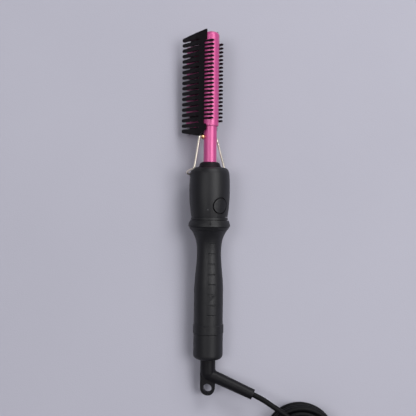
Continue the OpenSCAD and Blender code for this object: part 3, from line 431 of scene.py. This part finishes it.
def drawn_metal(name, dark, pale, polish):
    """A bare metal with fine lines along the comb, as drawing and brushing leave them."""
    metal = Finish(name, Metallic=1.0)
    lines = metal.noise(1400, 3, 0.6, (1, 0.06, 1))
    tarnish = metal.noise(120, 4, 0.6)
    return metal.finish(
        Base_Color=metal.shade(tarnish, dark, pale),
        Roughness=lines * (polish[1] - polish[0]) + polish[0],
        Normal=metal.bump(lines, 0.00001),
    )


pink_metal = coated_metal(
    "pink_metal", linear(206, 66, 140), linear(216, 74, 148), (0.42, 0.52), 3000,
    Metallic=0.4, Coat_Weight=1.0, Coat_Roughness=0.4, Coat_IOR=1.6,
)
stand_wire = drawn_metal(
    "stand_wire", linear(226, 216, 196), linear(244, 238, 226), (0.36, 0.48)
)
brass = drawn_metal("brass", linear(222, 184, 124), linear(240, 208, 154), (0.28, 0.4))
screw_steel = drawn_metal("screw_steel", linear(150, 152, 156), linear(184, 186, 190), (0.3, 0.42))
pin_metal = drawn_metal("pin_metal", linear(188, 188, 186), linear(214, 213, 208), (0.2, 0.3))
print("metals:", pink_metal.name, stand_wire.name, brass.name, screw_steel.name)

# %% [markdown]
# ## Rubber, cord and the small inner parts
#
# The boot and the plug are soft PVC with a matte skin, and the cord's sheath is the same stuff, a
# little darker and duller. One plain black would look painted, so one noise lays dust on the skin
# and a finer one roughens it. Leads and ceramics sit inside and show only when somebody opens the
# comb, but each has its own finish too.

# %% The soft and the inner materials


def soft_rubber(name, dark, pale, polish, **sockets):
    """A soft skin with dust on it: the more dust, the paler and rougher."""
    rubber = Finish(name, **sockets)
    dust = rubber.noise(90, 5, 0.65)
    skin = rubber.noise(3200, 2)
    return rubber.finish(
        Base_Color=rubber.shade(dust ** 2.0, dark, pale),
        Roughness=dust * (polish[1] - polish[0]) + polish[0],
        Normal=rubber.bump(skin, 0.00004),
    )


boot_rubber = soft_rubber(
    "boot_rubber", linear(13, 12, 16), linear(21, 20, 25), (0.4, 0.5), Specular_IOR_Level=0.23
)
cord_sheath = soft_rubber(
    "cord_sheath", linear(7, 7, 9), linear(12, 12, 15), (0.46, 0.6), Specular_IOR_Level=0.16
)
lead_red = soft_rubber("lead_red", linear(150, 34, 28), linear(172, 48, 40), (0.4, 0.5))
lead_white = soft_rubber("lead_white", linear(214, 208, 196), linear(230, 226, 216), (0.4, 0.5))
ceramic = moulded_plastic(
    "ceramic", linear(222, 216, 200), linear(236, 232, 220), (0.55, 0.7), 1200, 0.00005
)
print("soft skins:", boot_rubber.name, cord_sheath.name, "leads:", lead_red.name, lead_white.name)

# %% [markdown]
# The indicator's light pipe is a thin rod of clear plastic, seen end on as a small grey dot. It
# could be a glass shader, which shows what lies behind it. While the lamp is off, that is only
# the dark inside of the casing, so a smooth grey plastic is simpler and shows the same dot.

# %% The lamp's light pipe
clear = Finish("lamp", IOR=1.49)
lamp = clear.finish(
    Base_Color=clear.shade(clear.noise(900), linear(84, 84, 86), linear(104, 104, 106)),
    Roughness=clear.noise(1200) * 0.1 + 0.12,
)
print("lamp's light pipe:", lamp.name)

# %% [markdown]
# ## Dressing the nodes
#
# The record says which slot each piece takes its finish from. One table turns the slot's name
# into the material made above.

# %% Give every node its material
finishes = {
    "handle_plastic": handle_plastic, "collar_plastic": collar_plastic,
    "button_plastic": button_plastic, "guard_plastic": guard_plastic,
    "insulator_black": insulator_black, "insulator": insulator, "component": component,
    "track_board": track_board, "board_green": board_green, "pink_metal": pink_metal,
    "stand_wire": stand_wire, "brass": brass, "screw_steel": screw_steel,
    "pin_metal": pin_metal, "boot_rubber": boot_rubber, "cord": cord_sheath,
    "lead_red": lead_red, "lead_white": lead_white, "ceramic": ceramic, "lamp": lamp,
}
for subpart in frame["record"]["subparts"]:
    piece = nodes[subpart["node"]]
    piece.data.materials.clear()
    piece.data.materials.append(finishes[subpart["material_slot"]])
curve.materials.append(cord_sheath)

# %% [markdown]
# ## The table
#
# The comb lies on a pale lilac-grey board. A board of its real size would end close behind the
# comb in a low view. The floor is one big sheet, so its edge is metres away. Its colour drifts a
# little in broad patches: painted light and shade that stand in for the uneven light over the
# table.

# %% Lay the floor
FLOOR_HALF = 3.0
floor_mesh = bpy.data.meshes.new("floor")
corners = [(x * FLOOR_HALF, y * FLOOR_HALF, 0) for x, y in ((-1, -1), (1, -1), (1, 1), (-1, 1))]
floor_mesh.from_pydata(corners, [], [(0, 1, 2, 3)])
floor = bpy.data.objects.new("floor", floor_mesh)
bpy.context.scene.collection.objects.link(floor)
lilac = Finish("floor", Specular_IOR_Level=0.2)
# The broad paler and darker patches in the floor's colour are painted light and shade for the
# uneven light over the table.
floor_mesh.materials.append(
    lilac.finish(
        Base_Color=lilac.shade(lilac.noise(5), linear(184, 183, 195), linear(192, 191, 203)),
        Roughness=lilac.noise(40) * 0.1 + 0.6,
        Normal=lilac.bump(lilac.noise(900, 3), 0.0001),
    )
)
print("floor:", 2 * FLOOR_HALF, "m square")

# %% [markdown]
# ## The light
#
# Small lamps would leave hard shadows, and a bright sky would leave none. So three wide soft
# lamps light the table: the key stands high on the right, a second one high on the left, and a
# lower one on the right beyond the comb's tip. The shadow falls to the left and toward the cord,
# with a blurred edge.

# %% Hang the lamps


def soft_lamp(name, place, size, watts):
    """A round lamp that looks at the middle of the comb."""
    light = bpy.data.lights.new(name, "AREA")
    light.shape, light.size, light.energy = "DISK", size, watts
    lamp_object = bpy.data.objects.new(name, light)
    lamp_object.location = place
    lamp_object.rotation_euler = (-Vector(place)).to_track_quat("-Z", "Y").to_euler()
    bpy.context.scene.collection.objects.link(lamp_object)
    print(f"{name}: {watts} W, {Vector(place).length:.2f} m away")


soft_lamp("key", place=(1.1, 0.09, 1.73), size=1.1, watts=18.8)
soft_lamp("left_fill", place=(-1.18, 0.11, 2.53), size=1.3, watts=15.5)
soft_lamp("far_fill", place=(0.95, 2.15, 1.61), size=1.5, watts=35.0)

# %% [markdown]
# The sky is dim, with a paler band along the horizon, so that black plastic keeps its dark sides.
# One flat grey would be simpler, but then every side of the comb mirrors the same tone. A world
# shader gets a direction instead of a place: its Z is 0 at the horizon and 1 overhead. A square
# root over the lowest tenth makes the band fade fast.

# %% Fill the sky
HORIZON_HEIGHT = 0.1
HORIZON_GREY, OVERHEAD_GREY = (0.42, 0.42, 0.46), (0.17, 0.17, 0.19)
sky = Finish("sky", bpy.data.worlds, "Background", Strength=1.0)
direction = sky.node("ShaderNodeTexCoord", {}, {}, "Generated")
upward = sky.node("ShaderNodeSeparateXYZ", {}, {0: direction}, "Z")
haze = (upward * (1 / HORIZON_HEIGHT)).limited() ** 0.5
bpy.context.scene.world = sky.finish(Color=sky.shade(haze, HORIZON_GREY, OVERHEAD_GREY))
bpy.context.scene.view_settings.view_transform = "Standard"
print(f"the pale band reaches {math.degrees(math.asin(HORIZON_HEIGHT)):.1f} degrees up")
